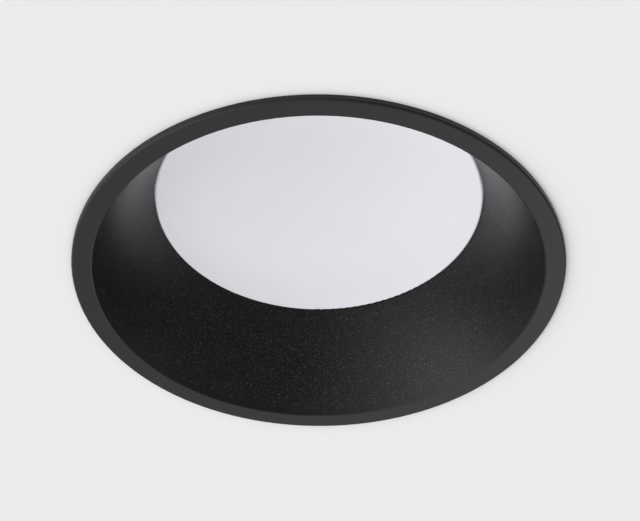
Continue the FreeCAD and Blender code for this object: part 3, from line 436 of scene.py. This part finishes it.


# %% [markdown]
# ## The torsion springs
#
# Each clip is driven by a torsion spring: one wire with a leg flat against the bracket, five turns round the pin
# and a leg on the arm. The CAD wire is a solid on a chain of arcs. Here it is made again as a tube on an exact
# helix. At both ends the wire closes in a short round, as a cropped and tumbled end does.

# %% The wire's centre line
PIVOT = np.array([51.1, 0.0, 23.5]) * MM
COIL_RADIUS = 2.3 * MM
WIRE_RADIUS = 0.5 * MM
COIL_HALF_WIDTH = 4.65 * MM
BRACKET_LEG = 12 * MM
ARM_LEG = 15 * MM
ARM_DROOP = math.radians(24)
FIRST_ANGLE = math.radians(181.337)
FULL_TURNS = 5
LAST_ANGLE = -ARM_DROOP - math.pi / 2
TURN_ANGLE = 2 * math.pi * FULL_TURNS + (LAST_ANGLE - FIRST_ANGLE) % (2 * math.pi)


def spring_line(leg_steps=40, turn_steps=360):
    """Leg, helix and leg: (R cos a, w (2 t - 1), R sin a) for a = a0 + A t, straight on at both ends."""
    t = np.linspace(0, 1, turn_steps)
    angle = FIRST_ANGLE + TURN_ANGLE * t
    sideways = COIL_HALF_WIDTH * (2 * t - 1)
    helix = np.stack([COIL_RADIUS * np.cos(angle), sideways, COIL_RADIUS * np.sin(angle)], -1)
    away = np.stack([-np.sin(angle[[0, -1]]), np.zeros(2), np.cos(angle[[0, -1]])], -1)
    spread = np.sin(np.linspace(0, np.pi / 2, leg_steps))[:, None]
    before = helix[0] - away[0] * BRACKET_LEG * spread[:0:-1]
    after = helix[-1] + away[1] * ARM_LEG * spread[1:]
    return np.concatenate([before, helix, after])


def arc_length(line):
    """Distance from the line's start to each of its points."""
    return np.concatenate([[0], np.cumsum(np.linalg.norm(np.diff(line, axis=0), axis=1))])


line = spring_line()
print(f"{TURN_ANGLE / (2 * math.pi):.2f} turns, {arc_length(line)[-1] / MM:.1f} mm of wire")


# %% A tube round a line
def tube(name, line, radius, finish, sides=24):
    """(s, v) -> p(s) + r(s) (b cos v + n sin v), b the pin's direction made square to the line, n across both,
    r(s) = r0 sqrt(1 - (1 - s / r0)^2) within r0 of an end. Its UV map is (s, r0 v), mirrored at half a turn."""
    tangent = np.gradient(line, axis=0)
    tangent /= np.linalg.norm(tangent, axis=1)[:, None]
    b = np.array([0.0, 1.0, 0.0]) - tangent * tangent[:, 1:2]
    b /= np.linalg.norm(b, axis=1)[:, None]
    n = np.cross(b, tangent)
    s = arc_length(line)
    from_end = np.clip(np.minimum(s, s[-1] - s) / radius, 0.02, 1)
    thick = radius * np.sqrt(1 - (1 - from_end) ** 2)
    v = np.linspace(0, 2 * np.pi, sides, endpoint=False)
    ring = np.cos(v)[:, None] * b[:, None] + np.sin(v)[:, None] * n[:, None]
    piece = surface(name, line[:, None] + ring * thick[:, None, None], finish, rows_closed=False)
    corner = np.zeros(len(piece.data.loops), dtype=np.int32)
    piece.data.loops.foreach_get("vertex_index", corner)
    across = np.minimum(v, 2 * np.pi - v) * radius
    lengthwise = np.append(np.repeat(s, sides), s[[0, -1]])
    crosswise = np.append(np.tile(across, len(s)), [0, 0])
    flat_map = np.stack([lengthwise, crosswise], axis=-1)[corner]
    piece.data.uv_layers.new(name="along_wire").uv.foreach_set("vector", flat_map.ravel())
    return piece


# %% The two springs
HALF_TURN = np.array([-1.0, -1.0, 1.0])
for side, turn in (("right", np.ones(3)), ("left", HALF_TURN)):
    spring = tube(f"torsion_spring_{side}", (line + PIVOT) * turn, WIRE_RADIUS, drawn_wire)
    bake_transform(spring)
    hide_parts(f"clip_spring_{side}")

# %% [markdown]
# ## The foam gasket
#
# The gasket behind the flange is cut from closed-cell foam. Its section is a rounded block whose edges bulge a
# little, and its upper face is never quite even, so a few low waves run round it. It stays inside the CAD ring.

# %% A foam ring
FOAM_INNER = 56.5 * MM
FOAM_OUTER = 58.9 * MM
FOAM_DEPTH = 0.8 * MM
WAVE = 0.04 * MM


def foam_ring(steps=360, sides=32):
    """(a, v) -> ring about +Z whose section is the superellipse |p|^5 + |q|^5 = 1, low waves in its top."""
    a = np.linspace(0, 2 * np.pi, steps, endpoint=False)[:, None]
    v = np.linspace(0, 2 * np.pi, sides, endpoint=False)[None, :]
    power = 2 / 5
    across = np.sign(np.cos(v)) * np.abs(np.cos(v)) ** power
    upward = np.sign(np.sin(v)) * np.abs(np.sin(v)) ** power
    wave = (np.sin(7 * a) + np.sin(11 * a + 1) + np.sin(23 * a + 2)) / 6 - 0.5
    radius = (FOAM_INNER + FOAM_OUTER) / 2 + across * (FOAM_OUTER - FOAM_INNER) / 2
    z = -FOAM_DEPTH / 2 + upward * FOAM_DEPTH / 2 + wave * WAVE * (upward > 0)
    return np.stack([radius * np.cos(a), radius * np.sin(a), z + 0 * a], axis=-1)


foam = surface("foam_gasket", foam_ring(), cut_foam, rows_closed=True)
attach(foam, "lamp")
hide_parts("soffit_gasket")

# %% [markdown]
# ## The soffit and the floor
#
# The lamp is pushed up into a soffit, and the photograph is taken from below. That soffit would hide the housing
# from above, and a floor would hide the lamp from below. So each is a flat ring with one face: its back lets
# everything through. The soffit has the lamp's cut-out in it, and it shows in the lamp's gloss, where the grey
# above it would look wrong.

# %% One-sided planes
SOFFIT_HOLE = 56 * MM
SOFFIT_WHITE = 0.84
FLANGE_FACE = -1.6 * MM
FLOOR_HOLE = 1 * MM
FLOOR_GAP = 0.05 * MM
FLOOR_WHITE = 0.80
STAGE_MIDDLE = 0.2
STAGE_REACH = 3.0


def one_sided(name, inner, height, facing, shade):
    """Flat ring (r, a) -> (r cos a, r sin a, height), shown only on the side that faces facing * Z."""
    angle = np.linspace(0, 2 * np.pi, 192, endpoint=False)
    reach = np.array([inner, STAGE_MIDDLE, STAGE_REACH])[::facing, None]
    points = np.stack([reach * np.cos(angle), reach * np.sin(angle), reach * 0 + height + angle * 0], axis=-1)
    graph = Finish(name)
    front = graph.node("ShaderNodeBsdfDiffuse", None, grey(shade))
    clear = graph.node("ShaderNodeBsdfTransparent")
    behind = graph.node("ShaderNodeNewGeometry", output="Backfacing")
    sides = graph.node("ShaderNodeMixShader", None, behind, front, clear)
    graph.node("ShaderNodeOutputMaterial", None, Surface=sides)
    mesh = bpy.data.meshes.new(name)
    quad_count = angle.size * (len(reach) - 1)
    quads = grid_faces(*points.shape[:2], rows_closed=False)[:quad_count]
    mesh.from_pydata(points.reshape(-1, 3), [], quads)
    mesh.materials.append(graph.material)
    plane = bpy.data.objects.new(name, mesh)
    bpy.context.scene.collection.objects.link(plane)
    plane.visible_diffuse = plane.visible_glossy = plane.visible_transmission = plane.visible_shadow = False
    print(f"{name}: faces {mesh.polygons[0].normal.z:+.0f} Z at {height / MM:.2f} mm")
    return plane


soffit = one_sided("soffit", SOFFIT_HOLE, 0.0, -1, SOFFIT_WHITE)
soffit.visible_glossy = True
one_sided("floor", FLOOR_HOLE, FLANGE_FACE - FLOOR_GAP, 1, FLOOR_WHITE)

# %% [markdown]
# ## Light
#
# The photograph's soffit is one even tone, so nearly all its light comes from all round: that is the world, which
# here is a few soft lobes, as from large cloths hung round the lamp. Each lobe is bright along its axis and fades
# away from it. Above the horizon the world is one even grey, a backdrop for the views of the housing. Two wide
# suns from below add what the paint and the lens show, and one from above lights the housing.

# %% World and suns
SOFT_LOBES = (  # towards, sharpness, strength
    ((0, 0, -1), 3, 0.36),
    ((0, 0, -1), 8, 0.15),
    ((-0.6, 0, -0.8), 8, 1.09),
    ((-1, 0, -0.15), 6, 0.64),
    ((-0.7, -0.7, -0.2), 10, 0.70),
    ((1, 0, -0.15), 6, 0.26),
    ((0, 1, -0.15), 6, 0.25),
    ((0.32, 0.72, -0.62), 60, 1.78),
)
BACKDROP = 0.7
HORIZON = (-0.1, -0.02)


def sun(name, origin, strength, angle, glossy=True):
    """A wide sun whose light comes from origin. Without glossy it lights a surface but shows in no reflection."""
    data = bpy.data.lights.new(name, "SUN")
    data.energy = strength
    data.angle = math.radians(angle)
    lamp = bpy.data.objects.new(name, data)
    lamp.rotation_mode = "QUATERNION"
    lamp.rotation_quaternion = Vector(origin).to_track_quat("Z", "Y")
    lamp.visible_glossy = glossy
    bpy.context.scene.collection.objects.link(lamp)


world = bpy.data.worlds.new("studio")
world.use_nodes = True
bpy.context.scene.world = world
sky = Graph(world.node_tree)
towards = sky.node("ShaderNodeTexCoord", output="Generated")
below = 0.0
dot = {"operation": "DOT_PRODUCT"}
for axis, sharpness, strength in SOFT_LOBES:
    cosine = sky.node("ShaderNodeVectorMath", dot, towards, Vector(axis).normalized(), output="Value")
    below = (cosine * 0.5 + 0.5) ** sharpness * strength + below
above = sky.node("ShaderNodeSeparateXYZ", None, towards).out("Z").between(*HORIZON)
glow = sky.node("ShaderNodeBackground", None, Color=below * (1.0 - above) + above * BACKDROP)
sky.node("ShaderNodeOutputWorld", None, Surface=glow)
sun("key_left", (-0.93, -0.30, -0.22), 0.22, 40)
sun("front", (0, -0.9, -0.42), 0.76, 30, glossy=False)
sun("top", (0.35, 0.5, 0.8), 1.2, 20)
bpy.context.scene.view_settings.view_transform = "Standard"
suns = [light for light in bpy.data.lights if light.type == "SUN"]
print(f"{len(SOFT_LOBES)} soft lobes, {len(suns)} suns")
